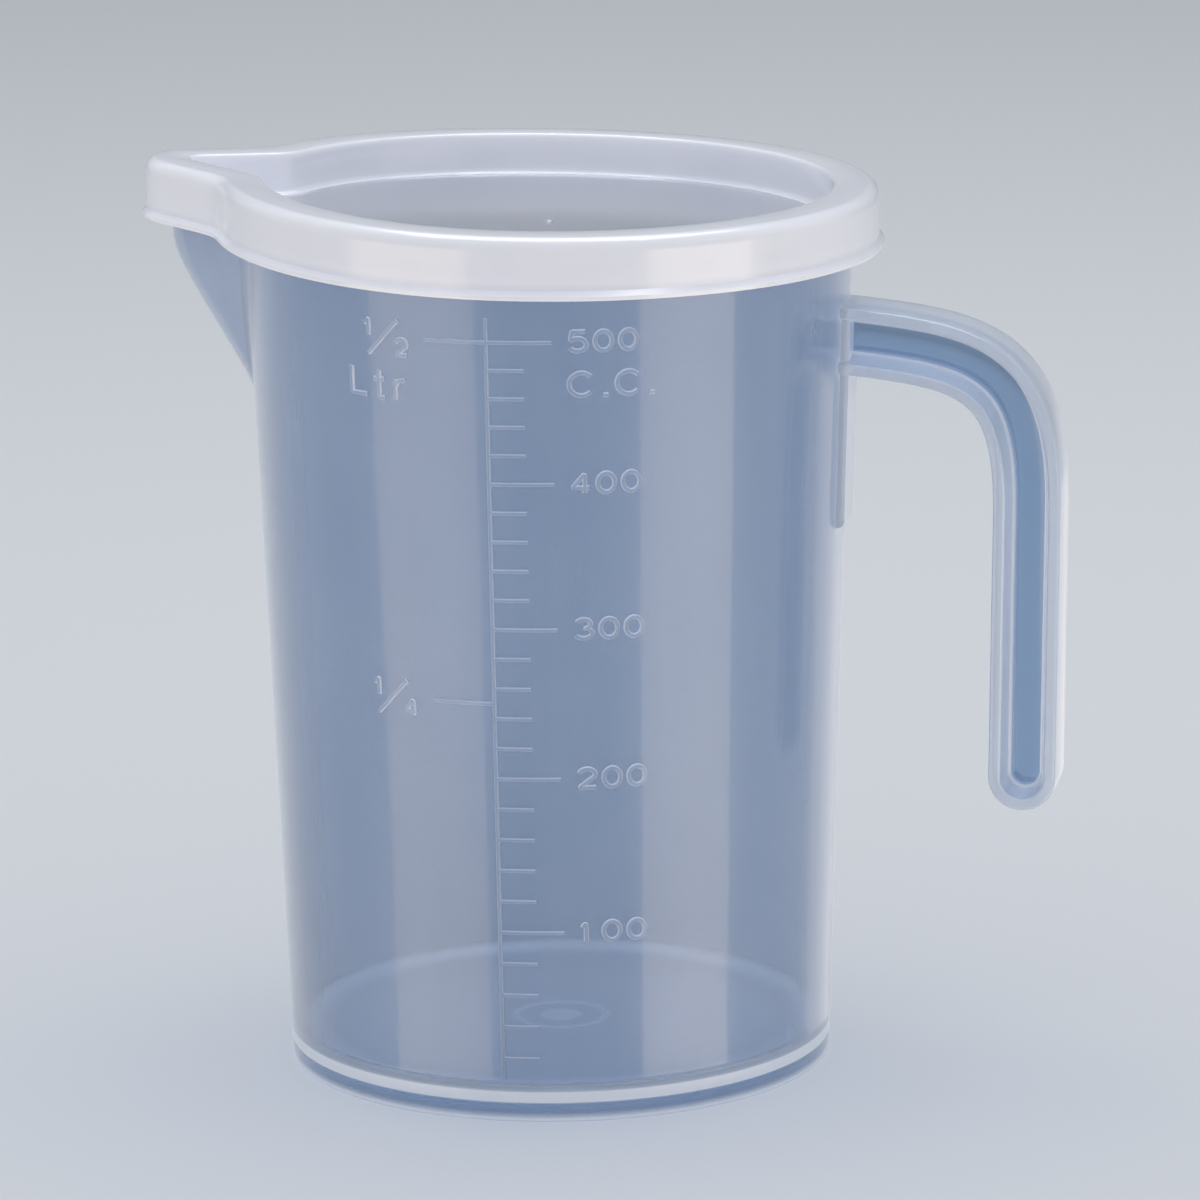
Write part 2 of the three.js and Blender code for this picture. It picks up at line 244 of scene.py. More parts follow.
def polyethylene():
    material, tree = new_material("injection-moulded natural polyethylene")
    place = add(tree, "ShaderNodeTexCoord").outputs["Object"]
    cloud = add(tree, "ShaderNodeTexNoise", Vector=place, Scale=1 / CLOUD, Detail=4.0)
    milk, clear, rough = plastic_values(tree, cloud.outputs[0], span=(0.3, 0.7), gloss=(0.15, 0.21))
    # The grey of the thin plastic is painted shade: it darkens the thin panel beyond the shade of the inside.
    colour = add(tree, "ShaderNodeMix", {"data_type": "RGBA"}, Factor=milk, A=linear("#868e9c"),
                 B=linear("#eef0fb"))
    grain = add(tree, "ShaderNodeTexNoise", Vector=place, Scale=1 / SATIN_GRAIN, Detail=2.0)
    matt = add(tree, "ShaderNodeBump", Height=grain.outputs[0], Strength=0.3, Distance=0.02 * MM)
    surface = add(tree, "ShaderNodeBsdfPrincipled", Base_Color=colour.outputs["Result"],
                  Transmission_Weight=clear, Roughness=rough, Normal=matt.outputs[0],
                  IOR=1.51, Coat_Weight=1.0, Coat_Roughness=0.14, Subsurface_Weight=0.5,
                  Subsurface_Scale=3 * MM, Subsurface_Radius=(1, 1, 1))
    let_light_through(tree, surface, linear("#f8f9fc"))
    return material


milky_plastic = polyethylene()
print(milky_plastic.name, "with", len(milky_plastic.node_tree.nodes), "nodes")

# %% [markdown]
# Sizes. They repeat the driving dimensions of the solids, so a curve here lies on the facets there. Writing
# them once lets every later cell work its places out from them.

# %% Sizes of cup, rim and spout
BASE_RADIUS = 38.3 * MM
WALL_SLOPE = math.tan(math.radians(2))
WALL = 1.5 * MM
JUG_HEIGHT = 123.6 * MM
FLOOR_TOP = 4.5 * MM
FLOOR_UNDER = 2.8 * MM
FLOOR_FILLET = 1.6 * MM
FOOT_WALL = 1.6 * MM
EDGE_ROUND = 0.4 * MM
FLANGE_WIDTH = 1.95 * MM
FLANGE_THICKNESS = 1.8 * MM
SPOUT_REACH = 54.1 * MM
SPOUT_FOOT = JUG_HEIGHT - 29.9 * MM
SPOUT_SHOULDER = JUG_HEIGHT - 10.5 * MM
SPOUT_BEND = 2.4 * MM
SPOUT_HALF_ANGLE = math.radians(33.7)
SPOUT_CREASE = 2.4 * MM


def cup_radius(height):
    return BASE_RADIUS + height * WALL_SLOPE


print("mouth", round(2 * cup_radius(JUG_HEIGHT) / MM, 1), "mm across")

# %% [markdown]
# The outline rule. Seen from above, the cup is a circle, and the spout a wedge with a round nose. A smooth
# maximum joins them, which leaves the soft crease that the moulding has. Every wall, rim and skirt is this
# outline moved by an offset, and the rim climbs towards the nose. Jug and lid could be sculpted, but they
# must follow each other exactly, so one tree of math nodes places every point of both. Each row of the table
# is one node: its name, its operation, and what goes in.

# %% Outline rule
ROUNDING = 1.5  # Blender's smooth maximum takes this much more distance than a plain quadratic blend
OUTLINE_SIZES = {
    "Axis X": AXIS_X,
    "Base Radius": BASE_RADIUS,
    "Wall Slope": WALL_SLOPE,
    "Spout Foot": SPOUT_FOOT,
    "Spout Reach": SPOUT_REACH,
    "Spout Slope": (SPOUT_REACH - cup_radius(SPOUT_FOOT)) / (SPOUT_SHOULDER - SPOUT_FOOT),
    "Spout Bend": SPOUT_BEND * ROUNDING,
    "Nose Radius": 5.6 * MM,
    "Half Angle": SPOUT_HALF_ANGLE,
    "Half Sine": math.sin(SPOUT_HALF_ANGLE),
    "Half Cosine": math.cos(SPOUT_HALF_ANGLE),
    "Wedge Edge": math.pi / 2 - SPOUT_HALF_ANGLE,
    "Crease": SPOUT_CREASE * ROUNDING,
    "Rim Slope": math.tan(math.radians(0.75)),
    "Rim Sweep": math.tan(math.radians(3.1)),
    "Sweep Start": 17.4 * MM,
    "Sweep Blend": 26 * MM * ROUNDING,
}
STATION_VALUES = ("angle", "offset", "height", "level", "share", "round", "radius")
OUTLINE_STEPS = [
    ("turn", "ABSOLUTE", "angle"),
    ("cup", "MULTIPLY_ADD", "level", "Wall Slope", "Base Radius"),
    ("plain", "ADD", "cup", "offset"),
    ("nose", "ADD", "Nose Radius", "offset"),
    ("root", "MULTIPLY_ADD", "Spout Foot", "Wall Slope", "Base Radius"),
    ("rise", "SUBTRACT", "level", "Spout Foot"),
    ("straight", "MULTIPLY_ADD", "rise", "Spout Slope", "root"),
    ("reach", "SMOOTH_MIN", "straight", "Spout Reach", "Spout Bend"),
    ("centre", "SUBTRACT", "reach", "Nose Radius"),
    ("beside", "MINIMUM", "turn", "Wedge Edge"),
    ("lean", "ADD", "beside", "Half Angle"),
    ("across", "SINE", "lean"),
    ("flank", "MULTIPLY_ADD", "centre", "Half Sine", "nose"),
    ("side", "DIVIDE", "flank", "across"),
    ("sway", "SINE", "turn"),
    ("aside", "MULTIPLY", "centre", "sway"),
    ("aside squared", "MULTIPLY", "aside", "aside"),
    ("nose squared", "MULTIPLY", "nose", "nose"),
    ("left over", "SUBTRACT", "nose squared", "aside squared"),
    ("not below", "MAXIMUM", "left over", 0.0),
    ("chord", "SQRT", "not below"),
    ("lead", "COSINE", "turn"),
    ("arc", "MULTIPLY_ADD", "centre", "lead", "chord"),
    ("touch aside", "MULTIPLY", "nose", "Half Cosine"),
    ("touch ahead", "MULTIPLY_ADD", "nose", "Half Sine", "centre"),
    ("touch", "ARCTAN2", "touch aside", "touch ahead"),
    ("on nose", "LESS_THAN", "turn", "touch"),
    ("side to arc", "SUBTRACT", "arc", "side"),
    ("spout", "MULTIPLY_ADD", "on nose", "side to arc", "side"),
    ("joined", "SMOOTH_MAX", "plain", "spout", "Crease"),
    ("behind", "GREATER_THAN", "turn", "Wedge Edge"),
    ("joined to plain", "SUBTRACT", "plain", "joined"),
    ("outline", "MULTIPLY_ADD", "behind", "joined to plain", "joined"),
    ("outline to circle", "SUBTRACT", "radius", "outline"),
    ("distance", "MULTIPLY_ADD", "round", "outline to circle", "outline"),
    ("ahead", "MULTIPLY", "distance", "lead"),
    ("past", "SUBTRACT", "ahead", "Sweep Start"),
    ("bent", "SMOOTH_MAX", "past", 0.0, "Sweep Blend"),
    ("sweep", "MULTIPLY", "bent", "Rim Sweep"),
    ("lift", "MULTIPLY_ADD", "ahead", "Rim Slope", "sweep"),
    ("z", "MULTIPLY_ADD", "share", "lift", "height"),
    ("x", "SUBTRACT", "Axis X", "ahead"),
    ("left", "SINE", "angle"),
    ("leftwards", "MULTIPLY", "distance", "left"),
    ("y", "MULTIPLY", "leftwards", -1.0),
]


def outline_tree(name, material):
    tree, given, result = new_tree(name, OUTLINE_SIZES)
    values = {size: given.outputs[size] for size in OUTLINE_SIZES}
    for value in STATION_VALUES:
        node = add(tree, "GeometryNodeInputNamedAttribute", Name=value)
        values[value] = node.outputs[0]
    work_out(tree, OUTLINE_STEPS, values)
    place = add(tree, "ShaderNodeCombineXYZ", X=values["x"], Y=values["y"], Z=values["z"])
    moved = add(tree, "GeometryNodeSetPosition", Geometry=given.outputs[0], Position=place.outputs[0])
    real = add(tree, "GeometryNodeRealizeInstances", Geometry=moved.outputs[0])
    finish = add(tree, "GeometryNodeSetMaterial", Geometry=real.outputs[0], Material=material)
    tree.links.new(finish.outputs[0], result.inputs[0])
    print("tree", name, "with", len(tree.nodes), "nodes")
    return tree


# %% [markdown]
# Turned skins. The tree needs points to place. A profile of stations, written from the axis under the piece
# to the axis above it, is carried round in rings, as on a lathe. Each point only stores its angle and the
# values of its station. Blender's Screw modifier could turn a profile too, but only into a round shape. The
# rings crowd round the nose, where the curves are tight.

# %% Turned skin
SEGMENTS = 240
CROWDING = 0.55
ROUND_STEPS = 5


def wall_station(offset, height):
    share = (height - SPOUT_FOOT) / (JUG_HEIGHT - FLANGE_THICKNESS - SPOUT_FOOT)
    return {"offset": offset, "height": height, "level": height, "share": min(max(share, 0), 1)}


def lid_station(offset, height, level=JUG_HEIGHT):
    return {"offset": offset, "height": height, "level": level, "share": 1}


def plug_station(offset, height):
    return lid_station(offset, height, level=height)


def round_station(radius, height, share=0):
    return {"radius": radius, "height": height, "level": height, "share": share, "round": 1}


def arc(start, end, steps=ROUND_STEPS):
    return np.radians(np.linspace(start, end, steps + 1))


def rounded(station, offset, height, radius, start, end):
    return [station(offset + radius * math.cos(t), height + radius * math.sin(t)) for t in arc(start, end)]


def run(station, offset, low, high, step):
    count = max(int(round(abs(high - low) / step)), 1)
    return [station(offset, height) for height in np.linspace(low, high, count + 1)]


def turned_piece(name, stations, material):
    even = np.linspace(-math.pi, math.pi, SEGMENTS, endpoint=False)
    angles = even - CROWDING * np.sin(even)
    rings = np.arange(len(stations) * SEGMENTS).reshape(len(stations), SEGMENTS)
    beside = np.roll(rings, -1, axis=1)
    quads = np.stack([rings[:-1], beside[:-1], beside[1:], rings[1:]], axis=-1).reshape(-1, 4)
    mesh = new_mesh(name, [(0, 0, 0)] * rings.size, quads.tolist())
    store(mesh, "angle", np.tile(angles, len(stations)))
    for value in STATION_VALUES[1:]:
        store(mesh, value, np.repeat([s.get(value, 0.0) for s in stations], SEGMENTS))
    piece = new_piece(name, mesh)
    run_tree(piece, outline_tree("turned_" + name, material), OUTLINE_SIZES, merge=True)
    return piece


# %% [markdown]
# The cup. On the real jug it is a slightly tapered pot on a foot ring, with a floor raised off the table and
# a flange round the rim. Its profile runs from the gate under the floor, over the foot ring, up the outside,
# over the rim, down the inside and back to the axis, so the wall has its real thickness. A Solidify modifier
# could thicken a single skin, but foot and rim need their own shape. The stations crowd at foot and floor,
# because the haze of the plastic is worked out later from the thickness at each point.

# %% Cup
WALL_STEP = 4 * MM
SPOUT_STEP = 1.2 * MM
FOOT_STEP = 0.2 * MM
FLOOR_RINGS = 8
GATE_RADIUS = 6.4 * MM
GATE_DEPTH = 0.5 * MM
NUB_RADIUS = 2.9 * MM
NUB_SLOPE = 0.25 * MM
BEAD_HEIGHT = 0.15 * MM
flange_under = JUG_HEIGHT - FLANGE_THICKNESS
flange_edge = FLANGE_WIDTH - EDGE_ROUND
foot_inside = BASE_RADIUS - FOOT_WALL
floor_edge = foot_inside - 3 * FLOOR_FILLET
gate_top = FLOOR_UNDER + GATE_DEPTH
gate_edge = GATE_RADIUS + MM
# In half widths of the ring round the gate: flat floor, the edge of its white, and the low bead.
half_bead = [(2.4, 0), (1.6, 0), (1, 0), (0.5, BEAD_HEIGHT)]
gate_bead = half_bead + [(-side, height) for side, height in reversed(half_bead)]
cup_profile = [
    round_station(0, FLOOR_UNDER),
    round_station(NUB_RADIUS - NUB_SLOPE, FLOOR_UNDER),
    round_station(NUB_RADIUS, gate_top),
    round_station(GATE_RADIUS, gate_top),
    round_station(GATE_RADIUS + NUB_SLOPE, FLOOR_UNDER),
    *[round_station(r, FLOOR_UNDER) for r in np.linspace(gate_edge, foot_inside - EDGE_ROUND, FLOOR_RINGS)],
    round_station(foot_inside, FLOOR_UNDER - EDGE_ROUND),
    round_station(foot_inside, EDGE_ROUND),
    round_station(foot_inside + EDGE_ROUND, 0),
    *rounded(wall_station, -EDGE_ROUND, EDGE_ROUND, EDGE_ROUND, -90, 0),
    *run(wall_station, 0, FLOOR_UNDER / 2, FLOOR_TOP + MM, FOOT_STEP),
    *run(wall_station, 0, FLOOR_TOP + 2 * MM, SPOUT_FOOT - SPOUT_BEND, WALL_STEP),
    *run(wall_station, 0, SPOUT_FOOT, flange_under, SPOUT_STEP),
    *rounded(wall_station, flange_edge, flange_under + EDGE_ROUND, EDGE_ROUND, -90, 0),
    *rounded(wall_station, flange_edge, JUG_HEIGHT - EDGE_ROUND, EDGE_ROUND, 0, 90),
    *rounded(wall_station, EDGE_ROUND - WALL, JUG_HEIGHT - EDGE_ROUND, EDGE_ROUND, 90, 180),
    *run(wall_station, -WALL, flange_under, SPOUT_FOOT, SPOUT_STEP),
    *run(wall_station, -WALL, SPOUT_FOOT - SPOUT_BEND, FLOOR_TOP + 2 * FLOOR_FILLET, WALL_STEP),
    *rounded(wall_station, -WALL - FLOOR_FILLET, FLOOR_TOP + FLOOR_FILLET, FLOOR_FILLET, 0, -90),
    *[round_station(r, FLOOR_TOP) for r in np.linspace(floor_edge, gate_edge, FLOOR_RINGS)],
    *[round_station(GATE_RADIUS + side * NUB_SLOPE, FLOOR_TOP + h) for side, h in gate_bead],
    *[round_station(NUB_RADIUS + side * NUB_SLOPE, FLOOR_TOP) for side in (1, -1)],
    round_station(0, FLOOR_TOP),
]
jug = turned_piece("jug", cup_profile, clear_plastic)
print("cup skin", len(jug.data.polygons), "faces")

# %% [markdown]
# The handle. On the real jug it is a thin web between two rails, which is stiff and cools evenly in the
# mould. A middle line leaves the cup, bends over and runs straight down to an open round end. Each level of
# the section, from the web of the front pocket over the rails to the web of the back pocket, is an offset of
# that line at its own depth. A bevelled curve would give an even section too, but not the round end with its
# pocket, so the levels are lofted here.

# %% Handle
HANDLE_TOP = JUG_HEIGHT - 19.4 * MM
HANDLE_DROOP = math.radians(5.8)
HANDLE_REACH = 67.7 * MM
HANDLE_FALL = 23.8 * MM
GRIP_LENGTH = 37.6 * MM
GRIP_LEAN = math.radians(1.1)
HANDLE_LEAD = 17.4 * MM
HANDLE_SHOULDER = 21.2 * MM
HANDLE_WIDTH = 9.6 * MM
HANDLE_DEPTH = 10.4 * MM
HANDLE_DRAFT = math.tan(math.radians(1))
RAIL_FACE = 1.6 * MM
POCKET_DRAFT = math.tan(math.radians(9))
WEB = 1.6 * MM
ROOT_SINK = 0.8 * MM
BEND_STEPS = 40
GRIP_STEPS = 8
END_STEPS = 28


def handle_line():
    lead = Vector((math.cos(HANDLE_DROOP), -math.sin(HANDLE_DROOP)))
    rise = Vector((math.sin(GRIP_LEAN), math.cos(GRIP_LEAN)))
    start = Vector((cup_radius(HANDLE_TOP), HANDLE_TOP))
    elbow = Vector((HANDLE_REACH, HANDLE_TOP - HANDLE_FALL))
    pulls = [start, start + lead * HANDLE_LEAD, elbow + rise * HANDLE_SHOULDER, elbow]
    share = np.linspace(0, 1, BEND_STEPS + 1)[:, None]
    weights = [(1 - share) ** 3, 3 * share * (1 - share) ** 2, 3 * share**2 * (1 - share), share**3]
    bend = sum(weight * np.array(pull) for weight, pull in zip(weights, pulls))
    grip = [np.array(elbow - rise * GRIP_LENGTH * step / GRIP_STEPS) for step in range(1, GRIP_STEPS + 1)]
    return np.vstack([np.array(start - lead * ROOT_SINK), bend, grip])


def handle_levels():
    face = HANDLE_DEPTH / 2
    half = HANDLE_WIDTH / 2
    face_half = half - face * HANDLE_DRAFT
    pocket = face_half - RAIL_FACE
    floor_half = pocket - (face - WEB / 2) * POCKET_DRAFT
    front = [
        (floor_half - EDGE_ROUND, WEB / 2),
        (floor_half, WEB / 2 + EDGE_ROUND / 2),
        (pocket - EDGE_ROUND * POCKET_DRAFT, face - EDGE_ROUND / 2),
        (pocket + EDGE_ROUND / 2, face),
    ]
    for turn in arc(90, 0):
        aside, back = EDGE_ROUND * (1 - math.cos(turn)), EDGE_ROUND * (1 - math.sin(turn))
        front.append((face_half - aside, face - back))
    middle = [(half, 0)]
    return [(h, -d) for h, d in front] + middle + [(h, d) for h, d in reversed(front)]


def handle_mesh():
    line = handle_line()
    along = np.gradient(line, axis=0)
    along /= np.linalg.norm(along, axis=1)[:, None]
    across = np.stack([-along[:, 1], along[:, 0]], axis=1)
    turns = np.linspace(0, math.pi, END_STEPS + 1)[1:-1]
    cap = np.outer(np.cos(turns), -across[-1]) + np.outer(np.sin(turns), along[-1])
    path = np.vstack([line, np.repeat(line[-1:], len(cap), axis=0), line[::-1]])
    outwards = np.vstack([-across, cap, across[::-1]])
    count, size = len(line), len(path)
    corners, faces = [], []
    for half, depth in handle_levels():
        for x, z in path + half * outwards:
            corners.append((x + AXIS_X, depth, z))
    levels = len(corners) // size
    for level in range(levels - 1):
        for here in range(size - 1):
            low, high = level * size, (level + 1) * size
            faces.append((low + here, low + here + 1, high + here + 1, high + here))
    for first, order in ((0, 1), ((levels - 1) * size, -1)):
        for here in range(count - 1):
            quad = (first + here, first + size - 1 - here, first + size - 2 - here, first + here + 1)
            faces.append(quad[::order])
        faces.append(tuple(first + here for here in range(count - 1, size - count + 1))[::-order])
    starts = [level * size for level in range(levels)]
    faces.append((*starts, *[start + size - 1 for start in reversed(starts)]))
    return new_mesh("handle", corners, faces)


handle = new_piece("handle", handle_mesh())
print("handle", len(handle.data.polygons), "faces")

# %% [markdown]
# The strip behind the root of the handle spreads its pull over the wall. It is a low block with a rounded
# lower end, leaning with the wall. A bevelled cube would do, but its side view is only a few points, so it is
# drawn once and pushed out to both sides.

# %% Strip behind the handle's root
PAD_WIDTH = 8 * MM
PAD_PROUD = MM
PAD_FOOT = HANDLE_TOP - 26.7 * MM
PAD_TOP = HANDLE_TOP + HANDLE_WIDTH / 2 - EDGE_ROUND


def pad_mesh():
    side = [(cup_radius(PAD_TOP) - ROOT_SINK, PAD_TOP), (cup_radius(PAD_FOOT) - ROOT_SINK, PAD_FOOT)]
    for turn in arc(-90, 0):
        height = PAD_FOOT + PAD_PROUD * (1 + math.sin(turn))
        side.append((cup_radius(height) + PAD_PROUD * math.cos(turn), height))
    side.append((cup_radius(PAD_TOP) + PAD_PROUD, PAD_TOP))
    count = len(side)
    corners = [(x + AXIS_X, y, z) for y in (-PAD_WIDTH / 2, PAD_WIDTH / 2) for x, z in side]
    faces = [(i, (i + 1) % count, count + (i + 1) % count, count + i) for i in range(count)]
    faces += [tuple(reversed(range(count))), tuple(range(count, 2 * count))]
    return new_mesh("pad", corners, faces)


pad = new_piece("pad", pad_mesh())
print("strip", len(pad.data.polygons), "faces")

# %% [markdown]
# One moulding. Cup, handle and strip are one shot of plastic. Three meshes that overlap would do for an
# opaque jug, but through clear plastic every inner face between them would show. A Boolean union removes
# those faces. Normals are made consistent first, because the union needs to know inside from outside.

# %% Union of cup, handle and strip


def fuse(piece, other):
    union = piece.modifiers.new("fuse", "BOOLEAN")
    union.operation = "UNION"
    union.solver = "EXACT"
    union.object = other
    piece.data = baked_mesh(piece)
    bpy.data.objects.remove(other)


for part in (handle, pad):
    closed(part.data)
fuse(handle, pad)
fuse(jug, handle)
closed(jug.data)
smooth(jug.data)
jug.data.name = "jug"
jug.data.materials.clear()
jug.data.materials.append(clear_plastic)
print("jug", len(jug.data.polygons), "faces")

# %% [markdown]
# The lid. On the real jug it is a shallow cap with a sunken panel: a plug wall goes into the mouth, a ring
# lies over the rim, and a skirt with a thumb lip hangs outside it. The profile starts under the panel, goes
# out and up the plug wall, over the rim, down the skirt to the lip, and back over the ring into the recess.
# It could be cut from a solid cap, but the same tree as for the cup keeps an even gap to the rim, round the
# spout too.

# %% Lid
LID_CLEARANCE = 0.3 * MM
LID_WALL = 1.15 * MM
LID_HEIGHT = 8.4 * MM
RECESS_DEPTH = 5.8 * MM
RECESS_FILLET = 0.8 * MM
TOP_ROUND = 1.7 * MM
RING_EDGE = 0.5 * MM
LIP_WIDTH = 0.7 * MM
LIP_HEIGHT = 1.3 * MM
DOT_RADIUS = 0.7 * MM
DOT_HEIGHT = 0.25 * MM
ROUND_LEAD = 0.3 * MM
ring_under = JUG_HEIGHT + LID_CLEARANCE
lid_top = ring_under + LID_WALL
lid_bottom = lid_top - LID_HEIGHT
panel_top = lid_top - RECESS_DEPTH
panel_under = panel_top - LID_WALL
plug_outside = -WALL - LID_CLEARANCE
plug_inside = plug_outside - LID_WALL
skirt_inside = FLANGE_WIDTH + LID_CLEARANCE
skirt_outside = skirt_inside + LID_WALL
lip_outside = skirt_outside + LIP_WIDTH
lip_top = lid_bottom + LIP_HEIGHT
panel_radius = cup_radius(panel_top) + plug_inside - RECESS_FILLET
panel_rings = np.linspace(4 * DOT_RADIUS, panel_radius - RECESS_FILLET, FLOOR_RINGS)
lid_profile = [
    round_station(0, panel_under, 1),
    *[round_station(r, panel_under, 1) for r in panel_rings],
    *rounded(plug_station, plug_outside - EDGE_ROUND, panel_under + EDGE_ROUND, EDGE_ROUND, -90, 0),
    *run(plug_station, plug_outside, panel_under + MM, ring_under, MM),
    lid_station((plug_outside + skirt_inside) / 2, ring_under),
    *run(lid_station, skirt_inside, ring_under, lid_bottom, MM),
    *rounded(lid_station, lip_outside - EDGE_ROUND / 2, lid_bottom + EDGE_ROUND / 2, EDGE_ROUND / 2, -90, 0),
    lid_station(lip_outside, lip_top - LIP_WIDTH),
    *run(lid_station, skirt_outside, lip_top, lid_top - TOP_ROUND - ROUND_LEAD, MM),
    *rounded(lid_station, skirt_outside - TOP_ROUND, lid_top - TOP_ROUND, TOP_ROUND, 0, 90),
    *rounded(plug_station, plug_inside + RING_EDGE, lid_top - RING_EDGE, RING_EDGE, 90, 180),
    *run(plug_station, plug_inside, lid_top - MM, panel_top + 2 * RECESS_FILLET, MM),
    *rounded(plug_station, plug_inside - RECESS_FILLET, panel_top + RECESS_FILLET, RECESS_FILLET, 0, -90),
    *[round_station(r, panel_top, 1) for r in panel_rings[::-1]],
    round_station(DOT_RADIUS, panel_top, 1),
    round_station(DOT_RADIUS / 2, panel_top + DOT_HEIGHT, 1),
    round_station(0, panel_top + DOT_HEIGHT, 1),
]
lid = turned_piece("lid", lid_profile, milky_plastic)
smooth(lid.data)
print("lid", len(lid.data.polygons), "faces")

# %% [markdown]
# Haze. Natural polypropylene scatters a little light in every millimetre, so a thin wall looks clear and a
# thick place white: the rim and the edge of the floor are among the whitest places of the real jug. A ray
# from each point straight into the plastic adds up how much of it lies within a finger's width behind the
# surface, in jug and lid together. The result is stored in an attribute for the materials, which no texture
# could place so exactly.

# %% Haze from thickness
HAZE_REACH = 14 * MM
CLEAR_DEPTH = 3.2 * MM
MILKY_DEPTH = 1.75 * MM
SKIN = 0.02 * MM


def plastic_behind(tree, start, way):
    plastic, walked, inside = 0.0, 0.0, True
    while walked < HAZE_REACH:
        step = tree.ray_cast(start + way * (walked + SKIN), way, HAZE_REACH - walked)[3]
        step = HAZE_REACH - walked if step is None else step + SKIN
        plastic += step if inside else 0.0
        walked += step
        inside = not inside
    return plastic


def thickness_haze(mesh, tree, depth):
    behind = [plastic_behind(tree, corner.co, -corner.normal) for corner in mesh.vertices]
    return 1 - np.exp(-((np.array(behind) / depth) ** 2))


both = bmesh.new()
both.from_mesh(jug.data)
both.from_mesh(lid.data)
plastic_tree = BVHTree.FromBMesh(both)
both.free()
jug_haze = thickness_haze(jug.data, plastic_tree, CLEAR_DEPTH)
lid_haze = thickness_haze(lid.data, plastic_tree, MILKY_DEPTH)
store(lid.data, "haze", lid_haze)
for piece, haze in ((jug, jug_haze), (lid, lid_haze)):
    print("haze of the", piece.name, round(float(np.median(haze)), 2))

# %% [markdown]
# Places that the straight ray misses. Light runs along the rails of the handle and along the foot, and comes
# out white at their edges. The rails are partly white from their thick plastic. The rest of their white, and
# the white of the lower edge of the foot and of the fillet round the floor, is a painted highlight. The gate
# in the floor was torn off and is white, and the bright ring round it is a painted highlight. A second
# attribute holds the faint blue cast. It is painted deeper in the web of the handle and in the foot band, as
# painted shade, and left out of the floor and weakened on the spout, as painted light. Both could be painted
# by hand.
# Here they follow from the place of each face, and are kept on its corners, so that the finish can change
# sharply at an edge.

# %% Edges, gate and blue cast
# The rails' white, with their weaker cast, is partly the scatter of their thick plastic and partly a painted
# highlight.
RAIL_HAZE_AND_HIGHLIGHT = 0.42
WEB_HAZE = 0.05
PAINTED_EDGE_HIGHLIGHT = 1.0
FLOOR_HAZE = 0.3
GATE_WHITE_AND_RING_HIGHLIGHT = 1.0
FOOT_HAZE = 0.1
# The foot band's deeper blue is painted shade next to the table.
FOOT_PAINTED_SHADE_CAST = 0.9
WALL_CAST = 0.77
# The spout is painted lighter and less blue than the wall, as painted light on the spout.
SPOUT_PAINTED_LIGHT_HAZE = 0.28
SPOUT_PAINTED_LIGHT_CAST = 0.68
RAIL_CAST = 0.55
# The web's deeper blue is painted shade in the pockets between the rails.
WEB_PAINTED_SHADE_CAST = 0.97
# No blue cast in the floor: painted light, so the floor reads lighter than the plastic's own tint.
FLOOR_PAINTED_LIGHT_CAST = 0.0
RIM_ZONE = 10 * MM


def point_finish(place, haze):
    x, y, z = place
    radius = math.hypot(x - AXIS_X, y)
    if radius < foot_inside - FLOOR_FILLET and FLOOR_UNDER - SKIN < z < FLOOR_TOP + BEAD_HEIGHT + SKIN:
        # The torn-off gate is white of its own. The bright ring round it is a painted highlight on the low
        # bead.
        ring_highlight = z > gate_top + SKIN and abs(radius - GATE_RADIUS) < 2 * NUB_SLOPE
        gate_or_ring_highlight = ring_highlight or radius < NUB_RADIUS - SKIN
        return (GATE_WHITE_AND_RING_HIGHLIGHT if gate_or_ring_highlight else FLOOR_HAZE), FLOOR_PAINTED_LIGHT_CAST
    inside = radius < cup_radius(z) - WALL + SKIN
    on_fillet = inside and FLOOR_TOP - SKIN < z < FLOOR_TOP + FLOOR_FILLET / 2
    on_foot = radius > foot_inside - SKIN
    # The fillet round the floor and the lower edge of the foot are painted white, a painted highlight for the
    # bright lines there.
    if on_fillet or (on_foot and z < EDGE_ROUND):
        return PAINTED_EDGE_HIGHLIGHT, WALL_CAST
    if z > SPOUT_FOOT and x < AXIS_X and radius > cup_radius(z) + MM:
        return max(haze, SPOUT_PAINTED_LIGHT_HAZE), SPOUT_PAINTED_LIGHT_CAST
    return (FOOT_HAZE, FOOT_PAINTED_SHADE_CAST) if on_foot and z < FLOOR_UNDER else (haze, WALL_CAST)


def handle_finish(face):
    x, y, z = face.center
    if x < AXIS_X or z > JUG_HEIGHT - RIM_ZONE or math.hypot(x - AXIS_X, y) < cup_radius(z) + SKIN:
        return None
    on_web = abs(abs(y) - WEB / 2) < SKIN
    return (WEB_HAZE, WEB_PAINTED_SHADE_CAST) if on_web else (RAIL_HAZE_AND_HIGHLIGHT, RAIL_CAST)


points = [point_finish(corner.co, haze) for corner, haze in zip(jug.data.vertices, jug_haze)]
finishes = []
for face in jug.data.polygons:
    on_handle = handle_finish(face)
    finishes += [on_handle or points[index] for index in face.vertices]
store(jug.data, "haze", [haze for haze, _ in finishes], "CORNER")
store(jug.data, "cast", [cast for _, cast in finishes], "CORNER")
print("finish of", len(finishes), "face corners")

# %% [markdown]
# Wrapping. Scale and numerals are cut into the curved wall of the mould. Here they are laid out flat, as on
# paper: x along the wall, y up and z out of the wall. A small group of nodes then rolls that paper on the
# cone of the cup. A Shrinkwrap modifier would flatten their sides. The same group serves marks and numerals,
# so they stay in register.

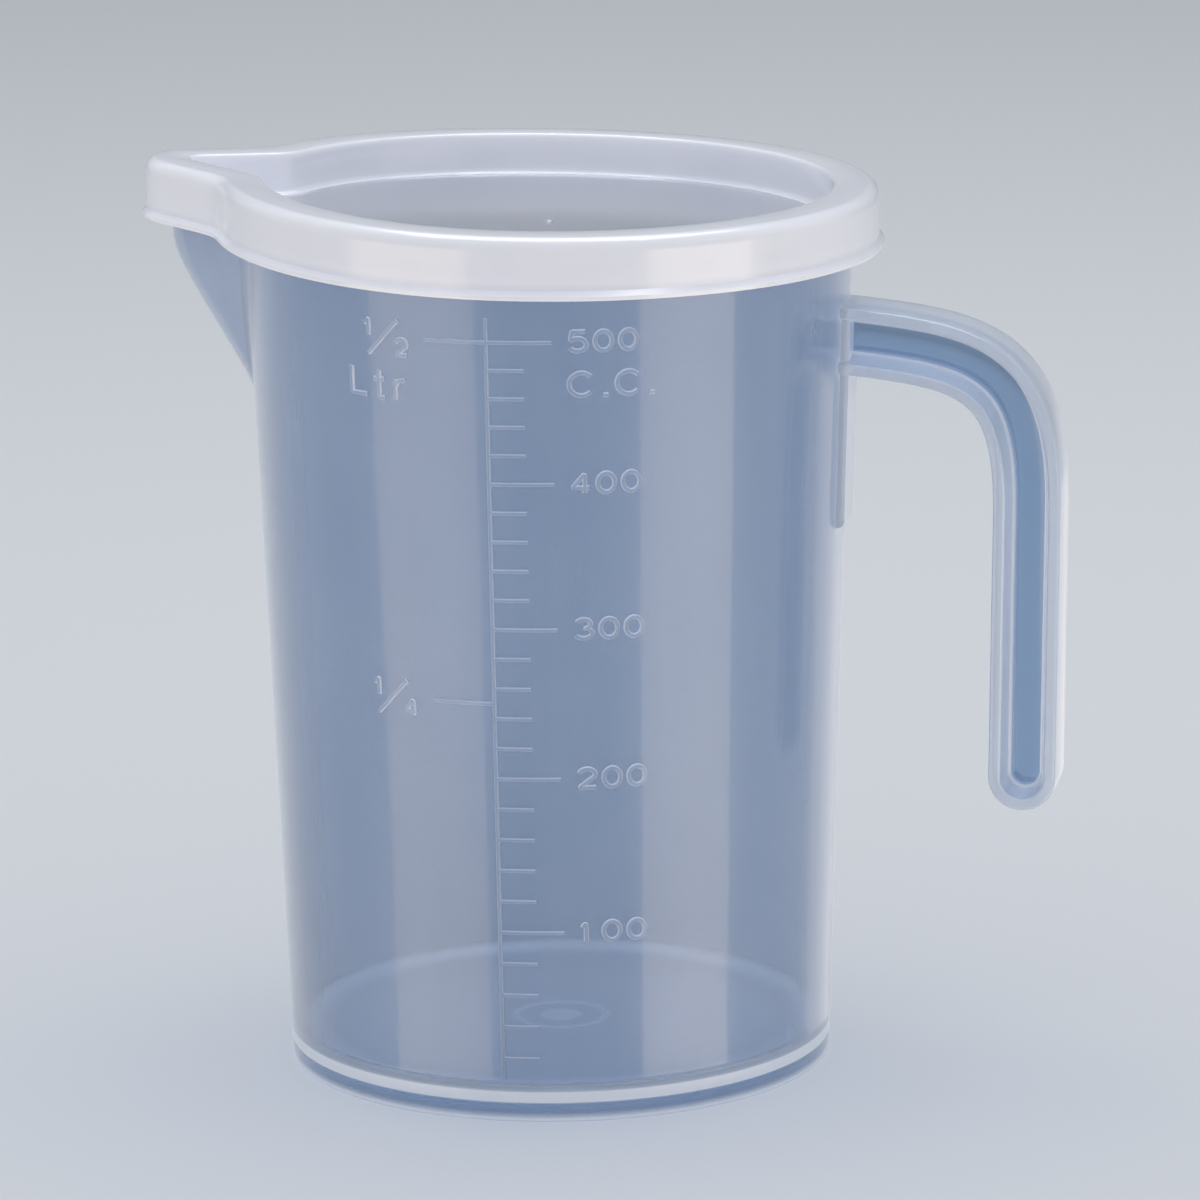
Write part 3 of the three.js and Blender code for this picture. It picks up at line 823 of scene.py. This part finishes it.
# %% Wrapping group
WRAP_SIZES = {"Base Radius": BASE_RADIUS, "Wall Slope": WALL_SLOPE, "Axis X": AXIS_X}
WRAP_STEPS = [
    ("skin", "MULTIPLY_ADD", "Y", "Wall Slope", "Base Radius"),
    ("turn", "DIVIDE", "X", "skin"),
    ("radius", "ADD", "skin", "Z"),
    ("sine", "SINE", "turn"),
    ("cosine", "COSINE", "turn"),
    ("x", "MULTIPLY_ADD", "radius", "sine", "Axis X"),
    ("front", "MULTIPLY", "radius", "cosine"),
    ("y", "MULTIPLY", "front", -1.0),
]


def wrapping_group():
    tree, given, result = new_tree("wrap_on_cup", WRAP_SIZES)
    paper = add(tree, "ShaderNodeSeparateXYZ", i0=add(tree, "GeometryNodeInputPosition").outputs[0]).outputs
    values = {size: given.outputs[size] for size in WRAP_SIZES} | {axis: paper[axis] for axis in "XYZ"}
    work_out(tree, WRAP_STEPS, values)
    rolled = add(tree, "ShaderNodeCombineXYZ", X=values["x"], Y=values["y"], Z=paper["Y"])
    moved = add(tree, "GeometryNodeSetPosition", Geometry=given.outputs[0], Position=rolled.outputs[0])
    tree.links.new(moved.outputs[0], result.inputs[0])
    return tree


wrap = wrapping_group()
print("group", wrap.name, "with", len(wrap.nodes), "nodes")

# %% [markdown]
# The scale. The marks are low ribs cut into the mould, every 20 cubic centimetres, with a longer one at each
# hundred. Their heights come from the volume inside the wall. They could be an array, but their distance
# shrinks upwards as the cup widens. So one rib is modelled, and a tree of nodes puts it on a point for each
# mark, stretches it to the mark's length and rolls it on the cup.

# %% Scale
RIB_WIDTH = 0.6 * MM
RIB_TOP = 0.34 * MM
RIB_HEIGHT = 0.3 * MM
RIB_SINK = 0.08 * MM
RIB_STEPS = 16
LONG_TICK = 8.9 * MM
SHORT_TICK = 5.1 * MM
LEFT_TICK = 8.7 * MM
LINE_SHIFT = -0.43 * MM
LINE_FOOT = 6 * MM
LINE_TOP = 113.5 * MM
CUBIC_CENTIMETRE = 1e-6
FULL, HUNDRED, TICK = 500, 100, 20
HALVINGS = 40


def volume_to(height):
    low, high = (cup_radius(h) - WALL for h in (FLOOR_TOP, height))
    return math.pi * (height - FLOOR_TOP) / 3 * (low**2 + low * high + high**2)


def mark_height(centimetres):
    below, above = FLOOR_TOP, JUG_HEIGHT
    for _ in range(HALVINGS):
        middle = (below + above) / 2
        if volume_to(middle) < centimetres * CUBIC_CENTIMETRE:
            below = middle
        else:
            above = middle
    return below


def rib_mesh():
    half, top = RIB_WIDTH / 2, RIB_TOP / 2
    section = [(-half, -RIB_SINK), (half, -RIB_SINK), (top, RIB_HEIGHT), (-top, RIB_HEIGHT)]
    corners = [(step / RIB_STEPS, y, z) for step in range(RIB_STEPS + 1) for y, z in section]
    size, last = len(section), len(section) * RIB_STEPS
    faces = []
    for first in range(0, last, size):
        for side in range(size):
            here, there = first + side, first + (side + 1) % size
            faces.append((here, there, there + size, here + size))
    faces += [tuple(reversed(range(size))), tuple(range(last, last + size))]
    mesh = new_mesh("rib", corners, faces)
    closed(mesh)
    return mesh


def roll_and_finish(tree, flat, given, result):
    real = add(tree, "GeometryNodeRealizeInstances", Geometry=flat)
    rolled = add(tree, "GeometryNodeGroup", {"node_tree": wrap}, Geometry=real.outputs[0])
    for size in WRAP_SIZES:
        tree.links.new(given.outputs[size], rolled.inputs[size])
    finish = add(tree, "GeometryNodeSetMaterial", Geometry=rolled.outputs[0], Material=clear_plastic)
    tree.links.new(finish.outputs[0], result.inputs[0])
    return tree


def scale_tree(rib):
    tree, given, result = new_tree("scale_marks", WRAP_SIZES)
    length = add(tree, "GeometryNodeInputNamedAttribute", Name="length")
    turn = add(tree, "GeometryNodeInputNamedAttribute", Name="turn")
    stretch = add(tree, "ShaderNodeCombineXYZ", X=length.outputs[0], Y=1.0, Z=1.0)
    about = add(tree, "ShaderNodeCombineXYZ", Z=turn.outputs[0])
    shape = add(tree, "GeometryNodeObjectInfo", Object=rib)
    marks = add(tree, "GeometryNodeInstanceOnPoints", Points=given.outputs["Geometry"],
                Instance=shape.outputs["Geometry"], Rotation=about.outputs[0], Scale=stretch.outputs[0])
    return roll_and_finish(tree, marks.outputs[0], given, result)


marks = [(LINE_FOOT, LINE_TOP - LINE_FOOT, math.pi / 2)]
for centimetres in range(TICK, FULL + 1, TICK):
    marks.append((mark_height(centimetres), SHORT_TICK if centimetres % HUNDRED else LONG_TICK, 0))
for centimetres in (FULL // 2, FULL):
    marks.append((mark_height(centimetres), LEFT_TICK, math.pi))
mark_points = new_mesh("scale", [(LINE_SHIFT, height, 0) for height, _, _ in marks])
store(mark_points, "length", [length for _, length, _ in marks])
store(mark_points, "turn", [turn for _, _, turn in marks])
rib = new_piece("rib", rib_mesh())
scale = new_piece("raised_scale", mark_points)
run_tree(scale, scale_tree(rib), WRAP_SIZES)
bpy.data.objects.remove(rib)
print("marks", len(marks), "with", len(scale.data.polygons), "faces")

# %% [markdown]
# The numerals are raised strokes of one width, as a round cutter leaves them in the mould. Blender's font has
# other shapes, so each sign is a path, drawn in a box that is 1 wide and 1 high. A Geometry Nodes tree rounds
# the corners of the paths, sweeps a tapered rib along them and rolls them on the cup.

# %% Paths of the numerals
STROKE_SIZES = {
    "Foot Width": 0.72 * MM,
    "Top Width": 0.46 * MM,
    "Height": RIB_HEIGHT,
    "Sink": RIB_SINK,
    "Corner Radius": 0.12 * MM,
}
BOW_STEP = 12
SAME_PLACE = 1e-6


def bow(x, y, wide, high, start, end):
    turns = arc(start, end, 1 + int(abs(end - start) / BOW_STEP))
    return [(x + wide * math.cos(t), y + high * math.sin(t)) for t in turns]


SIGNS = {
    "0": [bow(0.5, 0.5, 0.5, 0.5, 0, 360)],
    "1": [[(0.05, 0.72), (0.5, 1), (0.5, 0)]],
    "2": [bow(0.5, 0.7, 0.47, 0.3, 165, -25) + [(0, 0), (1, 0)]],
    "3": [bow(0.48, 0.76, 0.42, 0.24, 155, -75) + bow(0.48, 0.27, 0.5, 0.27, 75, -155)],
    "4": [[(0.72, 0), (0.72, 1), (0, 0.27), (1, 0.27)]],
    "5": [[(0.92, 1), (0.16, 1), (0.06, 0.5)] + bow(0.48, 0.33, 0.5, 0.33, 125, -150)],
    "C": [bow(0.5, 0.5, 0.5, 0.5, 42, 318)],
    ".": [[(0, 0.5), (1, 0.5)]],
    "L": [[(0, 1), (0, 0), (1, 0)]],
    "t": [[(0.5, 1), (0.5, 0), (1, 0)], [(0, 0.68), (1, 0.68)]],
    "r": [[(0, 1), (0, 0)], [(0, 0.62), (0.3, 0.9), (1, 0.95)]],
    "/": [[(0, 0), (1, 1)]],
}
print("signs", "".join(SIGNS))

# %% [markdown]
# The layout gives each sign its left, lower, right and upper edge on the paper, in millimetres from the scale
# line and from the table, measured to the middle of the stroke. Numerals stand beside their long marks, so
# their heights follow from the same volumes. The signs are drawn narrower and wider by their box, without a
# font.

# %% Layout of the numerals
DIGIT_START = 10.85
DIGIT_STEP = 3.46
NARROW_STEP = 3.01
DIGIT_WIDE = 2.33
DIGIT_HIGH = 2.65
DIGIT_LIFT = 0.1
layout = []
for hundred in range(HUNDRED, FULL + 1, HUNDRED):
    foot, left = mark_height(hundred) / MM + DIGIT_LIFT - DIGIT_HIGH / 2, DIGIT_START
    for digit in str(hundred):
        wide, step = (DIGIT_WIDE / 2, NARROW_STEP) if digit == "1" else (DIGIT_WIDE, DIGIT_STEP)
        layout.append((digit, left, foot, left + wide, foot + DIGIT_HIGH))
        left += step
layout += [
    ("C", 10.7, 102.75, 14.05, 105.9),
    (".", 15.3, 102.4, 16.0, 103.1),
    ("C", 17.2, 102.75, 20.55, 105.9),
    (".", 21.8, 102.4, 22.5, 103.1),
    ("L", -20.9, 101.9, -18.4, 105.6),
    ("t", -17.1, 101.6, -15.5, 105.4),
    ("r", -13.7, 101.5, -12.2, 104.4),
]
for centimetres, lower in ((FULL, "2"), (FULL // 2, "4")):
    line = mark_height(centimetres) / MM  # heights count from its mark
    fraction = [("1", -18.6, 0, -17, 2.3), ("/", -17.9, -2.5, -13.2, 2.4), (lower, -13.5, -2.4, -11.8, -0.2)]
    layout += [(sign, left, line + low, right, line + high) for sign, left, low, right, high in fraction]


def stroke_paths():
    corners, edges = [], []
    for sign, left, low, right, high in layout:
        for path in SIGNS[sign]:
            ring = math.dist(path[0], path[-1]) < SAME_PLACE
            points = path[:-1] if ring else path
            first = len(corners)
            wide, tall = right - left, high - low
            corners += [((left + wide * x) * MM, (low + tall * y) * MM, 0) for x, y in points]
            edges += [(first + i, first + i + 1) for i in range(len(points) - 1)]
            edges += [(len(corners) - 1, first)] if ring else []
    return new_mesh("strokes", corners, edges=edges)


def stroke_tree():
    tree, given, result = new_tree("raised_strokes", [*WRAP_SIZES, *STROKE_SIZES])
    sizes = given.outputs
    lines = add(tree, "GeometryNodeMeshToCurve", Mesh=sizes["Geometry"])
    round_off = add(tree, "GeometryNodeFilletCurve", {"mode": "POLY"}, Curve=lines.outputs[0], Count=3,
                    Radius=sizes["Corner Radius"], Limit_Radius=True)
    parts = add(tree, "GeometryNodeSubdivideCurve", Curve=round_off.outputs[0], Cuts=1)
    level = add(tree, "GeometryNodeSetCurveNormal", {"mode": "Z_UP"}, Curve=parts.outputs[0])
    tall = add(tree, "ShaderNodeMath", {"operation": "ADD"}, i0=sizes["Height"], i1=sizes["Sink"])
    section = add(tree, "GeometryNodeCurvePrimitiveQuadrilateral", {"mode": "TRAPEZOID"}, Offset=0.0,
                  Height=tall.outputs[0], Bottom_Width=sizes["Top Width"], Top_Width=sizes["Foot Width"])
    swept = add(tree, "GeometryNodeCurveToMesh", Curve=level.outputs[0], Profile_Curve=section.outputs[0],
                Fill_Caps=True)
    half = add(tree, "ShaderNodeMath", {"operation": "MULTIPLY"}, i0=tall.outputs[0], i1=0.5)
    sunk = add(tree, "ShaderNodeMath", {"operation": "SUBTRACT"}, i0=half.outputs[0], i1=sizes["Sink"])
    lift = add(tree, "ShaderNodeCombineXYZ", Z=sunk.outputs[0])
    raised = add(tree, "GeometryNodeSetPosition", Geometry=swept.outputs[0], Offset=lift.outputs[0])
    return roll_and_finish(tree, raised.outputs[0], given, result)


numerals = new_piece("raised_numerals", stroke_paths())
run_tree(numerals, stroke_tree(), WRAP_SIZES | STROKE_SIZES)
print("numerals", len(layout), "with", len(numerals.data.polygons), "faces")

# %% [markdown]
# On the real scale only the slanted sides of the strokes shine, and their tops are nearly as clear as the
# wall. A second material could do that, but they are one shot of plastic. So the haze of these pieces is
# stored for each face, by how far the face leans away from the wall, and the white of the sides is a painted
# highlight for that shine.

# %% Haze of the ribs and their painted highlights
TICK_SIDE_HIGHLIGHT = 0.55
NUMERAL_SIDE_HIGHLIGHT = 0.8
TOP_HAZE = 0.35
FACES_OUT = 0.85
for piece, side_highlight in ((scale, TICK_SIDE_HIGHLIGHT), (numerals, NUMERAL_SIDE_HIGHLIGHT)):
    haze = []
    for face in piece.data.polygons:
        outwards = Vector((face.center.x - AXIS_X, face.center.y, 0)).normalized()
        haze.append(TOP_HAZE if abs(face.normal.dot(outwards)) > FACES_OUT else side_highlight)
    store(piece.data, "haze", haze, "FACE")
    store(piece.data, "cast", [WALL_CAST] * len(haze), "FACE")
    piece.data.shade_flat()
    print(piece.name, "has", haze.count(side_highlight), "bright sides of", len(haze), "faces")

# %% [markdown]
# The frame moves the pieces. What is moulded on the jug rides with it, and the lid rides on its own body, so
# it lifts off as the joint says. The slots name the plastic that each piece is made of.

# %% Bodies and slots
for piece in (jug, scale, numerals):
    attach(piece, "jug")
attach(lid, "lid")
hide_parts("jug_with_handle")
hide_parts("press_on_lid")

# %% [markdown]
# The studio. A pale sweep of board runs from under the jug up behind it, so there is no horizon. A flat floor
# with a world of the same colour would do too, but clear plastic would show the line between them.

# %% Sweep
SWEEP_WIDTH = 6.0
SWEEP_FRONT = -3.0
SWEEP_BACK = 1.6
SWEEP_RADIUS = 0.8
SWEEP_HEIGHT = 3.0
SWEEP_STEPS = 24


def ribbon(name, corners):
    """Quads between pairs of corners."""
    pairs = range(0, len(corners) - 2, 2)
    return new_mesh(name, corners, [(pair, pair + 1, pair + 3, pair + 2) for pair in pairs])


def sweep_mesh():
    side = [(SWEEP_FRONT, 0)]
    for turn in arc(-90, 0, SWEEP_STEPS):
        side.append((SWEEP_BACK + SWEEP_RADIUS * math.cos(turn), SWEEP_RADIUS * (1 + math.sin(turn))))
    side.append((SWEEP_BACK + SWEEP_RADIUS, SWEEP_HEIGHT))
    corners = [(x, y, z) for y, z in side for x in (-SWEEP_WIDTH / 2, SWEEP_WIDTH / 2)]
    mesh = ribbon("studio_sweep", corners)
    mesh.shade_smooth()
    return mesh


sweep = new_piece("studio_sweep", sweep_mesh())
board, board_tree = new_material("matt painted board")
paint = add(board_tree, "ShaderNodeBsdfPrincipled", Base_Color=linear("#d3d6da"), Roughness=0.8)
add(board_tree, "ShaderNodeOutputMaterial", Surface=paint.outputs[0])
sweep.data.materials.append(board)

# %% [markdown]
# The light. A steep wall seen from a little above mirrors what lies beside it on the table. So low light
# cards lie round the jug and draw the long soft bands down wall and skirt. Light that comes in at one turn of
# the round wall leaves at twice that turn, so the edges of each card follow that rule, and its band stays
# upright down to the foot. Area lamps could light the wall too, but can't be cut to that shape. The cards
# shine upwards only, and neither the camera nor the look through the plastic shows them. A wide soft box
# above lights lid and floor, and a pale world fills the rest.

# %% Light
CARD_HEIGHT = 0.003
CARD_NEAR = 0.008
CARD_STEPS = 12
CAMERA_TURN = math.radians(11.4)
WARM, NEUTRAL = "#fff3e6", "#fbfbff"
BOX_PLACE = Vector((0, 0.2, 1.1))
BOX_WIDE, BOX_LONG = 0.9, 0.7
BOX_RADIANCE = 2.9


def light_card(name, start, end, strength, far, colour):
    """A card that the wall mirrors between two turns away from the camera."""
    corners = []
    for turn in arc(start, end, CARD_STEPS):
        wall, away = CAMERA_TURN + turn, CAMERA_TURN + 2 * turn
        for distance in (CARD_NEAR, far):
            x = AXIS_X + BASE_RADIUS * math.sin(wall) + distance * math.sin(away)
            corners.append((x, -BASE_RADIUS * math.cos(wall) - distance * math.cos(away), CARD_HEIGHT))
    card = new_piece(name, ribbon(name, corners))
    glow, tree = new_material(name)
    light = add(tree, "ShaderNodeEmission", Color=linear(colour), Strength=strength)
    under = add(tree, "ShaderNodeNewGeometry").outputs["Backfacing"]
    gone = add(tree, "ShaderNodeBsdfTransparent")
    one_sided = add(tree, "ShaderNodeMixShader", i0=under, i1=light.outputs[0], i2=gone.outputs[0])
    add(tree, "ShaderNodeOutputMaterial", Surface=one_sided.outputs[0])
    card.data.materials.append(glow)
    card.visible_camera = card.visible_transmission = card.visible_shadow = False


light_card("card_left", start=-36, end=-14.5, strength=1.6, far=1.25, colour=WARM)
light_card("card_right", start=17, end=37, strength=2.0, far=1.25, colour=WARM)
light_card("card_left_back", start=-75, end=-56, strength=0.6, far=0.43, colour=NEUTRAL)
light_card("card_right_back", start=64, end=80, strength=0.9, far=0.43, colour=NEUTRAL)
lamp = bpy.data.lights.new("top_box", "AREA")
lamp.shape = "RECTANGLE"
lamp.size, lamp.size_y = BOX_WIDE, BOX_LONG
lamp.energy = BOX_RADIANCE * math.pi * BOX_WIDE * BOX_LONG
box = new_piece("top_box", lamp)
box.location = BOX_PLACE
box.rotation_euler = (Vector() - BOX_PLACE).to_track_quat("-Z", "Y").to_euler()
world = bpy.data.worlds.new("pale room")
world.use_nodes = True
room = world.node_tree.nodes["Background"].inputs
room["Color"].default_value, room["Strength"].default_value = linear("#d8dbe0"), 0.85
scene.world = world
scene.view_settings.view_transform = "Standard"

# %% [markdown]
# The camera stands where the photograph was taken: a long lens, 13 degrees above the middle of the jug and 11
# degrees round towards the handle, with a slight roll.

# %% Camera
CAMERA_PLACE = Vector((0.18637, -0.95843, 0.28931))
CAMERA_AIM = Vector((-0.00132, 0.00343, 0.06452))
CAMERA_ROLL = math.radians(-0.79)
camera_data = bpy.data.cameras.new("camera")
camera_data.lens = 213.2
camera_data.sensor_width = 36
camera = new_piece("camera", camera_data)
camera.location = CAMERA_PLACE
turn = (CAMERA_AIM - CAMERA_PLACE).to_track_quat("-Z", "Y").to_matrix()
camera.rotation_euler = (turn @ Matrix.Rotation(CAMERA_ROLL, 3, "Z")).to_euler()
scene.camera = camera
